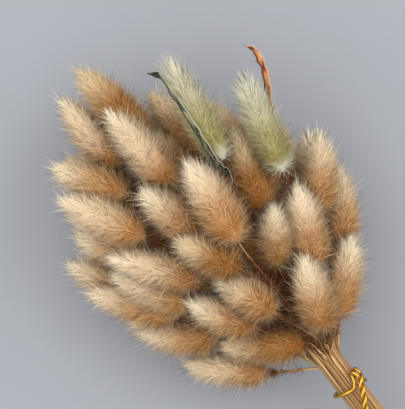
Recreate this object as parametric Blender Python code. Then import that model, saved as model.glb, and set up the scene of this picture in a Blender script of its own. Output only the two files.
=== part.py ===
"""A tied bunch of dried bunny tail grass, lying on a table.

Fifty-five furry seed heads stand on thin straw stems, which a gold wire gathers into one bundle.
Two of the heads are still green, and each of those carries one narrow leaf.

The places below are read in the bunch's own directions, in millimetres: along runs from the tie up the bunch,
across runs from the middle line of the heads to the left of someone looking that way, and up is the height
above the table. The tied bundle lies a little aside of that line and aslant to it.
"""

import math
from collections import namedtuple

import bmesh
import bpy
import numpy as np
from mathutils import Matrix, Vector

MM = 0.001

# The bundle of stems.
STEM_RADIUS = 0.68
STEM_TOP_RADIUS = 0.6
STEM_SIDES = 5
TIE_HEIGHT = 33.5
TIE_ASIDE = 2.0
CUT_LENGTH = 205.0
CUT_RAGGED = 9.0
CUT_HEIGHT = 11.6
CUT_ASIDE = 26.0
CUT_SPLAY = 1.4
TIE_HALF_ZONE = 7.0
NECK_REACH = 15.0
STEM_POINTS = 9
STEM_PULLS = (0.9, 0.8)
STEM_RISE = 0.8
STEM_RISE_FROM = 45.0
STEM_RISE_OVER = 35.0
SLOT_PITCH = 1.52
SLOT_SHIFT = (0.24, 0.13)
BUNDLE_RADIUS = 6.7
BUNDLE_FLUTES = 17
BUNDLE_FLUTE_DEPTH = 0.4
STEM_GAP = 0.12
HEAD_GAP = 0.7
NEARBY = 9.0
SEAT_GAP = 0.3

# The gold wire that ties the bundle. Places on it are given as the distance along the bundle
# from the middle of the tie, the angle round it from its upper side, and the radius.
WIRE_RADIUS = 0.8
WIRE_SIDES = 6
RING_RADIUS = 7.9
RING_TILT = 1.2
KNOT_ANGLE = 38.0
LEAD = [(5.8, 7.2, 10.9), (7.0, 7.7, 9.5), (5.8, 8.0, 8.1), (4.0, 10.3, 7.9), (2.2, 16.0, 7.9), (0.4, 27.0, 7.9)]
TAIL_START = (4.0, 38.0, 11.3)
TAIL_END = (-14.0, -14.0, 11.1)
TAIL_TURNS = 2.0
TAIL_POINTS = 17
RING_POINTS = 14
TWIST_RADIUS = 1.12

# The furry heads.
TUFTS_AROUND = 10
TUFT_ROW = 5.1
TUFT_LEAN = 5.4
CORE_SHARE = 0.72
WIDEST_AT = 0.36
SEAT_DISC = 1.9
HEAD_BOW = 0.8
HEAD_CLEARANCE = 0.6
PRESSED_SHARE = 0.66

# The leaves.
LEAF_THICKNESS = 0.7

Head = namedtuple("Head", "name base tip width")

HEADS = [
    # The side that faces up, from the far end of the bunch to the tie.
    Head("head_upper_01", (146, -12, 64), (190, -11, 61), 15.5),
    Head("head_upper_02", (143, 7, 48), (186, 4, 55), 15.5),
    Head("head_upper_03", (121, -5, 68), (168, -6, 82), 17.5),
    Head("head_upper_04", (115, -13, 54), (146, -15, 53), 15.0),
    Head("head_upper_05", (132, 12, 62), (166, 28, 56), 15.0),
    Head("head_upper_06", (113, 19, 68), (154, 36, 68), 16.0),
    Head("head_upper_07", (106, 22, 50), (136, 41, 44), 14.0),
    Head("head_upper_08", (96, 2, 73), (129, 6, 83), 15.5),
    Head("head_upper_09", (83, -8, 88), (126, -17, 97), 18.0),
    Head("head_upper_10", (74, 0, 78), (102, 10, 87), 15.0),
    Head("head_upper_11", (82, 15, 65), (121, 38, 69), 14.0),
    Head("head_upper_12", (77, 27, 55), (112, 43, 55), 13.0),
    Head("head_upper_13", (77, 35, 43), (115, 57, 41), 13.0),
    Head("head_upper_14", (96, 40, 27), (129, 55, 30), 14.0),
    Head("head_upper_15", (49, 3, 64), (78, 9, 73), 15.5),
    Head("head_upper_16", (49, 13, 56), (79, 25, 66), 14.0),
    Head("head_upper_17", (57, 28, 33), (85, 53, 34), 16.0),
    Head("head_upper_18", (29, 1, 49), (55, 30, 42), 16.0),
    Head("head_upper_19", (30, 23, 29), (59, 49, 26), 14.0),
    Head("head_upper_20", (28, -8, 60), (58, -23, 77), 16.5),
    Head("head_upper_21", (50, -23, 51), (85, -44, 67), 19.0),
    Head("head_upper_22", (85, -26, 61), (122, -41, 70), 18.0),
    Head("head_upper_23", (64, -12, 60), (83, -28, 74), 12.5),
    Head("head_upper_24", (119, -22, 47), (159, -26, 48), 15.0),
    Head("head_upper_25", (106, -31, 50), (132, -43, 54), 15.0),
    Head("head_upper_26", (67, -43, 48), (92, -68, 56), 15.0),
    Head("head_upper_27", (48, -40, 35), (75, -63, 39), 15.0),
    Head("head_upper_28", (27, -15, 46), (50, -45, 51), 15.5),
    Head("head_green_1", (113, -29, 77), (163, -41, 77), 15.5),
    Head("head_green_2", (91, -44, 73), (133, -60, 80), 14.0),
    # The heads inside the bunch and along its sides.
    Head("head_middle_01", (86, -36, 34), (122, -51, 34), 16.0),
    Head("head_middle_02", (112, -30, 38), (148, -36, 38), 15.0),
    Head("head_middle_03", (128, 14, 38), (164, 20, 38), 15.0),
    Head("head_middle_04", (140, -4, 38), (178, -8, 38), 15.0),
    Head("head_middle_05", (108, 28, 28), (144, 38, 28), 15.0),
    Head("head_middle_06", (68, -49, 27), (95, -64, 25), 15.0),
    Head("head_middle_07", (94, 6, 50), (130, 9, 52), 14.0),
    Head("head_middle_08", (84, -22, 38), (120, -30, 40), 14.0),
    Head("head_middle_09", (86, 13, 44), (120, 21, 46), 15.0),
    Head("head_middle_10", (46, -8, 40), (84, -13, 48), 17.0),
    Head("head_middle_11", (35, -17, 24), (70, -31, 20), 15.0),
    Head("head_middle_12", (36, 3, 34), (68, 8, 36), 14.0),
    # The heads that lie on the table.
    Head("head_lower_01", (41, -30, 21), (70, -52, 9), 15.0),
    Head("head_lower_02", (37, 12, 23), (67, 27, 8), 15.0),
    Head("head_lower_03", (39, -8, 21), (73, -17, 7), 16.0),
    Head("head_lower_04", (62, 36, 13), (92, 52, 5), 15.0),
    Head("head_lower_05", (74, 14, 6), (110, 21, 5), 17.0),
    Head("head_lower_06", (76, -28, 6), (112, -40, 5), 17.0),
    Head("head_lower_07", (104, -6, 6), (143, -8, 5), 17.0),
    Head("head_lower_08", (98, 33, 7), (134, 44, 5), 15.0),
    Head("head_lower_09", (82, -42, 8), (116, -55, 5), 15.0),
    Head("head_lower_10", (122, 10, 17), (160, 16, 13), 15.0),
    Head("head_lower_11", (118, -20, 19), (154, -26, 15), 15.0),
    Head("head_lower_12", (136, -10, 19), (172, -14, 17), 15.0),
    Head("head_lower_13", (66, -3, 16), (102, -9, 22), 16.0),
]

Leaf = namedtuple("Leaf", "name grows_below starts_back seat points width")

LEAVES = [
    Leaf(
        "leaf_green",
        "head_green_1",
        9.0,
        1.6,
        [(115, -26, 81), (122, -27, 85), (134, -30, 87), (150, -33, 87), (161, -34, 87), (167, -33, 86)],
        2.9,
    ),
    Leaf(
        "leaf_brown",
        "head_green_2",
        6.0,
        2.18,
        [(97, -46, 63), (108, -54, 65), (119, -62, 70), (129, -69, 76), (136, -72, 79), (141, -73, 80), (145, -71, 81)],
        2.9,
    ),
]

COLOURS = {
    "head": ((0.62, 0.42, 0.22, 1.0), 0.9, 0.0),
    "head_green": ((0.52, 0.53, 0.27, 1.0), 0.9, 0.0),
    "stems": ((0.60, 0.38, 0.15, 1.0), 0.7, 0.0),
    "leaf_green": ((0.10, 0.13, 0.06, 1.0), 0.7, 0.0),
    "leaf_brown": ((0.48, 0.22, 0.08, 1.0), 0.7, 0.0),
    "tie_wire": ((0.83, 0.60, 0.11, 1.0), 0.25, 1.0),
}


def clear_scene():
    """Starts from an empty scene."""
    for obj in list(bpy.data.objects):
        bpy.data.objects.remove(obj)


def material(name):
    """A plain finish of the part's colour, roughness and metallic value."""
    made = bpy.data.materials.get(name)
    if made is None:
        colour, roughness, metallic = COLOURS[name]
        made = bpy.data.materials.new(name)
        made.use_nodes = True
        shader = made.node_tree.nodes["Principled BSDF"]
        shader.inputs["Base Color"].default_value = colour
        shader.inputs["Roughness"].default_value = roughness
        shader.inputs["Metallic"].default_value = metallic
        made.diffuse_color = colour
    return made


def new_object(name, points, faces, finish, collection=None):
    """An object whose mesh has these points, in millimetres, and these faces."""
    mesh = bpy.data.meshes.new(name)
    mesh.from_pydata([Vector(p) * MM for p in points], [], faces)
    mesh.materials.append(material(finish))
    obj = bpy.data.objects.new(name, mesh)
    (collection or bpy.context.scene.collection).objects.link(obj)
    return obj


def unit(vectors):
    """The vectors, each at length one."""
    return vectors / np.linalg.norm(vectors, axis=-1, keepdims=True)


# The head's outline, and the spacing of heads and stems.


def head_radius(share, width):
    """The outer radius at a share of the head's length: a blunt round base, the widest place, then a long taper."""
    share = np.asarray(share, float)
    rising = np.clip(1 - share / WIDEST_AT, 0, 1)
    falling = np.clip((share - WIDEST_AT) / (1 - WIDEST_AT), 0, 1)
    return width / 2 * (1 - rising**2.3) ** 0.5 * (1 - falling**2.5) ** 0.7


def axis_balls(bases, tips, count):
    """A row of balls along each head's axis, with two small ones behind it for the end of its stem."""
    shares = np.concatenate([[-0.24, -0.1], (np.arange(count) + 0.5) / count])
    points = bases[:, None, :] + shares[None, :, None] * (tips - bases)[:, None, :]
    widths = np.array([h.width for h in HEADS])
    radii = np.where(shares < 0, STEM_RADIUS, head_radius(np.clip(shares, 0, 1)[None, :], widths[:, None]))
    return points, radii, shares


def spaced_heads(passes=90, count=9):
    """The heads' ends, moved apart until no two press on each other and none sinks far into the table.

    Two balls that touch are pushed apart along the line between them, and a push near one end of
    a head moves that end the most.
    """
    bases = np.array([h.base for h in HEADS], float)
    tips = np.array([h.tip for h in HEADS], float)
    for _ in range(passes):
        points, radii, shares = axis_balls(bases, tips, count)
        owner = np.repeat(np.arange(len(HEADS)), len(shares))
        flat, radii = points.reshape(-1, 3), radii.reshape(-1)
        apart = flat[:, None, :] - flat[None, :, :]
        distance = np.linalg.norm(apart, axis=2) + 1e-6
        depth = radii[:, None] + radii[None, :] + HEAD_CLEARANCE - distance
        depth[owner[:, None] == owner[None, :]] = 0
        depth = np.clip(depth, 0, None)
        push = (apart / distance[:, :, None] * depth[:, :, None]).sum(axis=1) * 0.12
        push[:, 2] += np.clip(radii * PRESSED_SHARE - flat[:, 2], 0, None) * 0.5
        push = push.reshape(len(HEADS), len(shares), 3)
        bases += (push * (1 - shares)[None, :, None]).sum(axis=1) * 0.5
        tips += (push * shares[None, :, None]).sum(axis=1) * 0.5
    return bases, tips


# The stems.


def bundle_directions():
    """The bundle's own axes at the tie: along it, across it and out of its upper side."""
    along = unit(np.array([CUT_LENGTH, TIE_ASIDE - CUT_ASIDE, TIE_HEIGHT - CUT_HEIGHT]))
    across = unit(np.cross((0.0, 0.0, 1.0), along))
    return along, across, np.cross(along, across)


def bundle_slots(count):
    """Places across the tied bundle, packed like round bars: each has six neighbours one pitch away."""
    reach = range(-count, count + 1)
    places = np.array([((i + j / 2) * SLOT_PITCH, j * 0.866 * SLOT_PITCH) for i in reach for j in reach])
    shifted = places - np.array(SLOT_SHIFT)
    return shifted[np.argsort(np.linalg.norm(shifted, axis=1))[:count]]


def slots_for(bases):
    """The slot that each head's stem takes: the free one nearest to the side that the head lies on."""
    along, across, out = bundle_directions()
    from_tie = bases - np.array([0.0, TIE_ASIDE, TIE_HEIGHT])
    reach = from_tie @ along + 45
    leaning = np.stack([from_tie @ across / reach, from_tie @ out / reach], axis=1)
    leaning -= leaning.mean(axis=0)
    slots = bundle_slots(len(bases))
    wanted = leaning / np.linalg.norm(leaning, axis=1).max() * np.linalg.norm(slots, axis=1).max()
    chosen = np.full(len(bases), -1)
    for head in np.argsort(-np.linalg.norm(leaning, axis=1)):
        distance = np.linalg.norm(slots - wanted[head], axis=1)
        distance[chosen[chosen >= 0]] = np.inf
        chosen[head] = int(np.argmin(distance))
    return slots[chosen]


def stem_path(slot, base, direction, cut):
    """A stem's points: straight from its cut end to the neck of the bunch, then one smooth curve to its head's foot.

    The curve is a cubic whose pulls at the neck and at the foot are shares of the distance between them,
    and its points lie closer together towards the head. The higher a head lies, the more its stem comes
    to it from below.
    """
    along, across, out = bundle_directions()
    centre = np.array([0.0, TIE_ASIDE, TIE_HEIGHT])
    side = across * slot[0] + out * slot[1]
    end = centre - along * cut + side * CUT_SPLAY
    low = centre - along * TIE_HALF_ZONE + side
    high = centre + along * NECK_REACH + side
    foot = base - direction * SEAT_GAP
    reach = np.linalg.norm(foot - high)
    rise = STEM_RISE * min(max((base[2] - STEM_RISE_FROM) / STEM_RISE_OVER, 0.0), 1.0)
    approach = unit(direction + np.array([0.0, 0.0, rise]))
    s = 1 - (1 - np.linspace(0, 1, STEM_POINTS)[:, None]) ** 1.25
    curve = (
        (2 * s**3 - 3 * s**2 + 1) * high
        + (s**3 - 2 * s**2 + s) * along * reach * STEM_PULLS[0]
        + (3 * s**2 - 2 * s**3) * foot
        + (s**3 - s**2) * approach * reach * STEM_PULLS[1]
    )
    return np.vstack([end, low, curve])


def nearest_shares(p, u, q, v):
    """How far along two bars, p to p + u and q to q + v, they come nearest to each other."""
    a, b, c = (u * u).sum(-1), (u * v).sum(-1), (v * v).sum(-1) + 1e-9
    d, e = (u * (p - q)).sum(-1), (v * (p - q)).sum(-1)
    s = np.clip((b * e - c * d) / (a * c - b * b + 1e-9), 0, 1)
    t = np.clip((b * s + e) / c, 0, 1)
    return np.clip((b * t - d) / a, 0, 1), t


def bend_clear(paths, balls, radii, ball_owner, passes=200):
    """The stems' points, moved aside until every bar passes every other stem and every other head clear.

    Two bars that are too near each other are pushed apart at the place where they are nearest,
    and a push moves the nearer end of a bar more. The ends of a stem and its stretch in the tie
    stay where they are. All but the last passes smooth the stems as well.
    """
    stems, count = paths.shape[:2]
    owner = np.repeat(np.arange(stems), count - 1)
    start = (np.arange(stems)[:, None] * count + np.arange(count - 1)).reshape(-1)
    flat = paths.reshape(-1, 3)
    middles = (flat[start] + flat[start + 1]) / 2
    halves = np.linalg.norm(flat[start + 1] - flat[start], axis=1) / 2
    between = np.linalg.norm(middles[:, None] - middles[None, :], axis=2) - halves[:, None] - halves[None, :]
    one, two = np.nonzero(np.triu((between < NEARBY) & (owner[:, None] != owner[None, :])))
    between = np.linalg.norm(middles[:, None] - balls[None, :], axis=2) - halves[:, None] - radii[None, :]
    bar, ball = np.nonzero((between < NEARBY) & (owner[:, None] != ball_owner[None, :]))
    free = np.ones((1, count, 1))
    free[:, :3] = 0
    free[:, -2:] = 0
    points = flat.copy()
    for step in range(passes):
        p = points[start]
        u = points[start + 1] - p
        push = np.zeros_like(points)

        s, t = nearest_shares(p[one], u[one], p[two], u[two])
        gap = p[one] + s[:, None] * u[one] - p[two] - t[:, None] * u[two]
        distance = np.linalg.norm(gap, axis=1) + 1e-6
        move = gap * (np.clip(2 * STEM_RADIUS + STEM_GAP - distance, 0, None) / distance)[:, None] * 0.5
        np.add.at(push, start[one], move * (1 - s)[:, None])
        np.add.at(push, start[one] + 1, move * s[:, None])
        np.add.at(push, start[two], -move * (1 - t)[:, None])
        np.add.at(push, start[two] + 1, -move * t[:, None])

        from_bar = balls[ball] - p[bar]
        s = np.clip((from_bar * u[bar]).sum(1) / (u[bar] * u[bar]).sum(1), 0, 1)
        gap = s[:, None] * u[bar] - from_bar
        distance = np.linalg.norm(gap, axis=1)
        move = gap * (np.clip(radii[ball] + STEM_RADIUS + HEAD_GAP - distance, 0, None) / distance)[:, None]
        np.add.at(push, start[bar], move * (1 - s)[:, None] * 0.4)
        np.add.at(push, start[bar] + 1, move * s[:, None] * 0.4)

        shaped = (points + push * free.repeat(stems, axis=0).reshape(-1, 1)).reshape(stems, count, 3)
        if step < passes * 0.7:
            middle = (shaped[:, :-2] + shaped[:, 2:]) / 2
            shaped[:, 1:-1] += free[:, 1:-1] * (middle - shaped[:, 1:-1]) * 0.12
        shaped[:, 3:, 2] = np.maximum(shaped[:, 3:, 2], STEM_RADIUS + SEAT_GAP)
        points = shaped.reshape(-1, 3)
    return points.reshape(stems, count, 3)


def tube(path, radius, sides, turn=0.0):
    """The points and faces of a closed round bar along a path, its rings carried along without twisting.

    The radius is one number, or one for each point of the path.
    """
    path = np.asarray(path, float)
    radii = np.broadcast_to(radius, len(path))
    forward = unit(np.gradient(path, axis=0))
    side = np.cross(forward[0], (0.0, 0.0, 1.0))
    if np.linalg.norm(side) < 0.1:
        side = np.cross(forward[0], (0.0, 1.0, 0.0))
    side = unit(side)
    points = []
    angles = turn + 2 * math.pi * np.arange(sides) / sides
    for centre, ahead, reach in zip(path, forward, radii):
        side = unit(side - ahead * (side @ ahead))
        other = np.cross(ahead, side)
        points += [centre + reach * (math.cos(a) * side + math.sin(a) * other) for a in angles]
    return points, ring_faces(len(path), sides)


def ring_faces(rings, sides):
    """The faces of a closed skin over rings of points, with a flat cap on each end."""
    faces = [tuple(reversed(range(sides))), tuple(range((rings - 1) * sides, rings * sides))]
    for ring in range(rings - 1):
        for k in range(sides):
            a = ring * sides + k
            b = ring * sides + (k + 1) % sides
            faces.append((a, b, b + sides, a + sides))
    return faces


def join_by_union(name, objects, collection):
    """One solid from objects that overlap, by a Boolean union that is then applied."""
    first = objects[0]
    collection.objects.unlink(first)
    bpy.context.scene.collection.objects.link(first)
    union = first.modifiers.new("union", "BOOLEAN")
    union.operation = "UNION"
    union.operand_type = "COLLECTION"
    union.collection = collection
    union.solver = "MANIFOLD"
    graph = bpy.context.evaluated_depsgraph_get()
    mesh = bpy.data.meshes.new_from_object(first.evaluated_get(graph))
    for obj in objects:
        bpy.data.objects.remove(obj)
    bpy.data.collections.remove(collection)
    joined = bpy.data.objects.new(name, mesh)
    bpy.context.scene.collection.objects.link(joined)
    return joined


def pressed_bundle():
    """The stretch inside the tie, where the stems are squeezed into one another: a fluted bar."""
    along, across, out = bundle_directions()
    angles = 2 * math.pi * np.arange(4 * BUNDLE_FLUTES) / (4 * BUNDLE_FLUTES)
    radii = BUNDLE_RADIUS - BUNDLE_FLUTE_DEPTH * (0.5 - 0.5 * np.cos(BUNDLE_FLUTES * angles))
    centre = np.array([0.0, TIE_ASIDE, TIE_HEIGHT])
    points = []
    for end in (-1, 1):
        middle = centre + along * end * TIE_HALF_ZONE * 0.9
        points += [middle + r * (math.cos(a) * across + math.sin(a) * out) for a, r in zip(angles, radii)]
    return points, ring_faces(2, len(angles))


def make_stems(paths):
    """All the straw stems as one solid, joined by the pressed bundle inside the tie."""
    collection = bpy.data.collections.new("stems")
    bpy.context.scene.collection.children.link(collection)
    points, faces = pressed_bundle()
    objects = [new_object("pressed_bundle", points, faces, "stems", collection)]
    radii = np.concatenate([[STEM_RADIUS] * 2, np.linspace(STEM_RADIUS, STEM_TOP_RADIUS, STEM_POINTS)])
    for index, path in enumerate(paths):
        points, faces = tube(path, radii, STEM_SIDES, turn=index * 0.7)
        objects.append(new_object(f"stem_{index}", points, faces, "stems", collection))
    return join_by_union("stems", objects, collection)


# The heads.


def head_mesh(length, width, turn):
    """A furry head on its own axis, +X from base to tip: a grid of rings with every second point drawn out.

    The points left low are the core. Each raised point moves outwards and towards the tip,
    and makes a four-sided tuft with the four low points round it. The axis bows by a small arc.
    """
    rows = max(6, round(length / TUFT_ROW))
    points = [(0.0, 0.0, 0.0)]
    angles = turn + 2 * math.pi * np.arange(TUFTS_AROUND) / TUFTS_AROUND
    for angle in angles:
        points.append((0.0, SEAT_DISC * math.cos(angle), SEAT_DISC * math.sin(angle)))
    for row in range(rows):
        share = 0.05 + 0.88 * row / (rows - 1)
        for k, angle in enumerate(angles):
            raised = (row + k) % 2 == 0
            at = share + (TUFT_LEAN / length if raised else 0.0)
            outer = max(head_radius(min(at, 0.985), width), 0.11 * width)
            radius = outer if raised else CORE_SHARE * float(head_radius(share, width))
            lift = HEAD_BOW * 4 * at * (1 - at)
            points.append((at * length, radius * math.cos(angle), radius * math.sin(angle) + lift))
    points.append((1.02 * length, 0.0, 0.0))
    faces = []
    first = 1
    for k in range(TUFTS_AROUND):
        after = (k + 1) % TUFTS_AROUND
        faces.append((0, first + after, first + k))
        for row in range(rows):
            ring = first + row * TUFTS_AROUND
            a, b = ring + k, ring + after
            c, d = b + TUFTS_AROUND, a + TUFTS_AROUND
            if (row + k) % 2:
                faces += [(a, b, d), (b, c, d)]
            else:
                faces += [(a, b, c), (a, c, d)]
        last = first + rows * TUFTS_AROUND
        faces.append((last + k, last + after, len(points) - 1))
    return points, faces


def make_head(head, index, base, tip, table_cutter):
    """One head, placed on its axis, with what would go into the table cut flat."""
    axis = tip - base
    length = float(np.linalg.norm(axis))
    finish = "head_green" if "green" in head.name else "head"
    points, faces = head_mesh(length, head.width, turn=index * 0.9)
    obj = new_object(head.name, points, faces, finish)
    obj.rotation_mode = "QUATERNION"
    obj.rotation_quaternion = Vector(axis).to_track_quat("X", "Z")
    obj.location = Vector(base) * MM
    if min(base[2], tip[2]) < 0.6 * head.width:
        cut = obj.modifiers.new("rest on the table", "BOOLEAN")
        cut.operation = "DIFFERENCE"
        cut.object = table_cutter
        cut.solver = "EXACT"
    return obj


def make_table_cutter():
    """A slab under the table's surface, which cuts the lowest heads flat."""
    mesh = bpy.data.meshes.new("table_cutter")
    shape = bmesh.new()
    size = Matrix.Diagonal((600 * MM, 400 * MM, 40 * MM, 1.0))
    bmesh.ops.create_cube(shape, size=1.0, matrix=Matrix.Translation((0, 0, -20 * MM)) @ size)
    shape.to_mesh(mesh)
    shape.free()
    cutter = bpy.data.objects.new("table_cutter", mesh)
    cutter.hide_render = True
    cutter.display_type = "WIRE"
    bpy.context.scene.collection.objects.link(cutter)
    return cutter


# The leaves and the tie.


def smooth_curve(points, count):
    """Points at even steps on a Catmull-Rom curve through the given ones."""
    points = np.asarray(points, float)
    padded = np.vstack([2 * points[0] - points[1], points, 2 * points[-1] - points[-2]])
    places = np.linspace(0, len(points) - 1 - 1e-9, count)
    i = places.astype(int)
    t = (places - i)[:, None]
    a, b, c, d = padded[i], padded[i + 1], padded[i + 2], padded[i + 3]
    return 0.5 * (2 * b + (c - a) * t + (2 * a - 5 * b + 4 * c - d) * t**2 + (3 * b - a - 3 * c + d) * t**3)


def place_back(path, length):
    """The place that lies this length back from a path's end, and the path's direction there."""
    back = path[::-1]
    reached = np.concatenate([[0.0], np.cumsum(np.linalg.norm(np.diff(back, axis=0), axis=1))])
    place = np.array([np.interp(length, reached, back[:, k]) for k in range(3)])
    segment = int(np.searchsorted(reached, length)) - 1
    return place, unit(back[segment] - back[segment + 1])


def make_leaf(leaf, stem):
    """A narrow arched blade that starts beside its stem, follows it a little and then runs along its head."""
    place, upwards = place_back(stem, leaf.starts_back)
    aside = np.array(leaf.points[0]) - place
    away = unit(aside - upwards * (aside @ upwards))
    root = place + away * leaf.seat
    parting = root + upwards * 5.0 + away * 1.5
    path = smooth_curve([root, parting, *leaf.points], 15)
    forward = unit(np.gradient(path, axis=0))
    share = np.linspace(0, 1, len(path))
    half = leaf.width / 2 * (0.55 + 0.45 * np.sin(math.pi * share**0.8)) * (1 - 0.75 * share**5)
    points = []
    for centre, ahead, reach in zip(path, forward, half):
        side = unit(np.cross(ahead, (0.0, 0.0, 1.0)))
        lift = np.cross(side, ahead)
        for across, up in ((1, 0.35), (0, -0.2), (-1, 0.35)):
            points.append(centre + side * across * reach + lift * up * reach)
        for across, up in ((-1, 0.35), (0, -0.2), (1, 0.35)):
            points.append(centre + side * across * reach + lift * (up * reach + LEAF_THICKNESS))
    return new_object(leaf.name, points, ring_faces(len(path), 6), leaf.name)


def round_bundle(place):
    """A place given by its distance along the bundle, its angle in degrees and its radius, with its directions."""
    along, across, out = bundle_directions()
    distance, angle, radius = place
    turn = math.radians(angle)
    outwards = math.cos(turn) * out - math.sin(turn) * across
    sideways = -math.sin(turn) * out - math.cos(turn) * across
    return np.array([0.0, TIE_ASIDE, TIE_HEIGHT]) + along * distance + outwards * radius, outwards, sideways


def wire_end(side):
    """One end of the wire: its share of the twisted tail, then its way over the knot down to the ring."""
    points = []
    for s in np.linspace(1, 0, TAIL_POINTS):
        place = np.array(TAIL_START) + s * (np.array(TAIL_END) - TAIL_START)
        middle, outwards, sideways = round_bundle(place)
        turn = 2 * math.pi * TAIL_TURNS * s
        points.append(middle + side * TWIST_RADIUS * (math.cos(turn) * sideways + math.sin(turn) * outwards))
    for distance, spread, radius in LEAD:
        points.append(round_bundle((distance, KNOT_ANGLE + side * spread, radius))[0])
    return points


def make_tie_wire():
    """The gold wire: one ring round the bundle, whose two ends meet in a knot and are twisted into a tail."""
    angles = np.linspace(KNOT_ANGLE + 40, KNOT_ANGLE + 320, RING_POINTS)
    ring = [round_bundle((-RING_TILT * math.sin(math.radians(a)), a, RING_RADIUS))[0] for a in angles]
    path = wire_end(1) + ring + wire_end(-1)[::-1]
    points, faces = tube(path, WIRE_RADIUS, WIRE_SIDES)
    return new_object("tie_wire", points, faces, "tie_wire")


def stand_on_origin(objects):
    """Hangs the pieces on one empty, moved so that the middle of the bunch's underside is the origin."""
    graph = bpy.context.evaluated_depsgraph_get()
    corners = []
    for obj in objects:
        evaluated = obj.evaluated_get(graph)
        mesh = evaluated.to_mesh()
        corners += [evaluated.matrix_world @ v.co for v in mesh.vertices]
        evaluated.to_mesh_clear()
    corners = np.array(corners)
    low, high = corners.min(axis=0), corners.max(axis=0)
    bunch = bpy.data.objects.new("bunch", None)
    bpy.context.scene.collection.objects.link(bunch)
    bunch.location = (-(low[0] + high[0]) / 2, -(low[1] + high[1]) / 2, -low[2])
    for obj in objects:
        obj.parent = bunch
    return bunch


def main():
    clear_scene()
    bases, tips = spaced_heads()
    directions = unit(tips - bases)
    slots = slots_for(bases)
    balls, radii, shares = axis_balls(bases, tips, 13)
    owners = np.repeat(np.arange(len(HEADS)), len(shares))
    ragged = np.random.default_rng(7).uniform(-1, 1, len(HEADS)) * CUT_RAGGED
    paths = np.array(
        [
            stem_path(slots[index], bases[index], directions[index], CUT_LENGTH + ragged[index])
            for index in range(len(HEADS))
        ]
    )
    paths = bend_clear(paths, balls.reshape(-1, 3), radii.reshape(-1), owners)
    cutter = make_table_cutter()
    pieces = [make_stems(paths)]
    for index, head in enumerate(HEADS):
        pieces.append(make_head(head, index, bases[index], tips[index], cutter))
    names = [h.name for h in HEADS]
    for leaf in LEAVES:
        pieces.append(make_leaf(leaf, paths[names.index(leaf.grows_below)]))
    pieces.append(make_tie_wire())
    bpy.context.view_layer.update()
    bunch = stand_on_origin(pieces)
    cutter.parent = bunch


main()
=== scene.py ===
"""Dresses the tied bunch of dried bunny tail grass.

It has furry heads, straw stems, dry leaves, a gold wire and a plain stage.
"""

import math

import bpy
import numpy as np
from mathutils import Matrix


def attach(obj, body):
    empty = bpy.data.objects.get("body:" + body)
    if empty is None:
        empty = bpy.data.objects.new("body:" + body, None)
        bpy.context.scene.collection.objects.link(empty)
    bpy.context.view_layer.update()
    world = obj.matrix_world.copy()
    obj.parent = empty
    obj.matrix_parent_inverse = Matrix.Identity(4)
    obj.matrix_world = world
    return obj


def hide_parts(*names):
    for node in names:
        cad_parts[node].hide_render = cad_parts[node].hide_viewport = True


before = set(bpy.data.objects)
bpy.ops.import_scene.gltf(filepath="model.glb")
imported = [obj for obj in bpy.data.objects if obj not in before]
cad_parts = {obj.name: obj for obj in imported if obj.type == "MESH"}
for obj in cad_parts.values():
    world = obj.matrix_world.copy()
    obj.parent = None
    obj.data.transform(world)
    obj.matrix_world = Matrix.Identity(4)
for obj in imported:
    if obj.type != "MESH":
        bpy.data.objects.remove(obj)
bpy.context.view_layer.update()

bl_info = {
    "name": "Dried bunny tail grass",
    "version": (1, 0, 0),
    "blender": (4, 5, 0),
    "location": "View3D > Sidebar > Bunny Tails",
    "description": "Builds the furry heads, stems, leaves and gold wire of a tied bunch on its packed frame",
    "category": "Object",
}

MM = 0.001
UP = np.array([0.0, 0.0, 1.0])

# Settings that several nodes share.
SMOOTH = {"interpolation_type": "SMOOTHSTEP"}
COLOURS = {"data_type": "RGBA"}

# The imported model's tied bundle: the tie's middle, and the ways along, across and out of the bundle. Its
# run is the way from the cut ends to the tie, in millimetres.
BUNCH_SHIFT = np.array([9.907, 7.243, 0.0]) * MM
TIE_CENTRE = BUNCH_SHIFT + np.array([0.0, 2.0, 33.5]) * MM
BUNDLE_RUN = np.array([205.0, -24.0, 21.9])
BUNDLE_ALONG = BUNDLE_RUN / np.linalg.norm(BUNDLE_RUN)
BUNDLE_ACROSS = np.cross(UP, BUNDLE_RUN) / np.hypot(*BUNDLE_RUN[:2])
BUNDLE_OUT = np.cross(BUNDLE_ALONG, BUNDLE_ACROSS)

# Half the stretch that the tie holds straight, the way on to the neck, and how far the cut ends splay.
TIE_HALF_ZONE = 7.0 * MM
NECK_REACH = 15.0 * MM
CUT_SPLAY = 1.4

# Where a head is widest, as a share of its length, and how far its middle bows.
WIDEST_AT = 0.36
HEAD_BOW = 0.8 * MM

# The stretch of a head's length that its body takes up. Its hairs reach on to both ends.
BODY_FROM = 0.035
BODY_TO = 0.90

HEAD_NAMES = sorted(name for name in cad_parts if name.startswith("head_"))

# Heads that look unlike the rest: browner, partly with painted shade on heads at the back; paler; darkened
# all over with painted shade deep inside the bunch; or green.
SPECIAL_HEADS = {
    # Browner heads: partly their own browner colour, partly painted shade on heads at the back of the bunch.
    "brown": [f"upper_{k:02}" for k in (1, 4, 10, 18, 22, 24, 25)] + ["middle_03"],
    "pale": [f"upper_{k:02}" for k in (2, 3, 6, 11, 12, 19)],
    # Heads deep inside the bunch, darkened all over with painted shade.
    "painted_shade_inside": [f"middle_{k:02}" for k in range(7, 13)] + ["lower_03", "lower_13"],
    "green": ["green_1", "green_2"],
}

# Heads whose foot stands on a bare stem, left pale with no painted shade near the head, and how many of its
# last rings have no soft hairs. On the other stems these are the rings inside the head.
BARE_STEM_HEADS = ("head_upper_09", "head_upper_19")
BARE_RINGS = 9
RINGS_IN_HEAD = 2


def linear(code):
    """A colour in linear light from its sRGB hex code."""
    parts = [int(code[i : i + 2], 16) / 255 for i in (1, 3, 5)]
    return tuple(p / 12.92 if p <= 0.04045 else ((p + 0.055) / 1.055) ** 2.4 for p in parts)


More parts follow.
